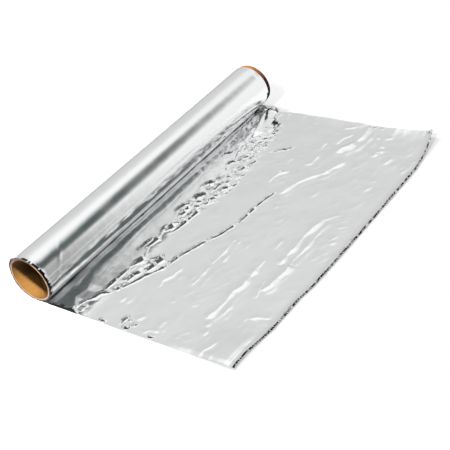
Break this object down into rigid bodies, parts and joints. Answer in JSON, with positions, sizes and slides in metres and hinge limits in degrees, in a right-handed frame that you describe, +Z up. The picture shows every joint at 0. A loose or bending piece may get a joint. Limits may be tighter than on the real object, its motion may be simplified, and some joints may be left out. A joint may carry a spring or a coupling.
{
  "type": "aluminium foil roll",
  "caption": "Roll of household aluminium foil wound on an open cardboard core, lying on its side with a creased sheet pulled out flat from under it to a saw-toothed tear.",
  "frame": {"origin": "middle of the footprint on the table", "axes": "+Y along the roll towards the end where the core stands out, +X the way the sheet is pulled, +Z up from the table"},
  "size_m": [0.2198, 0.31, 0.0415],
  "materials": {
    "core": "matte brown kraft board, spirally wound",
    "foil": "bright rolled foil, satin on the outside of the roll, creased where it is pulled out"
  },
  "bodies": {
    "root": {"core_tube": "core", "foil": "foil"}
  },
  "joints": []
}
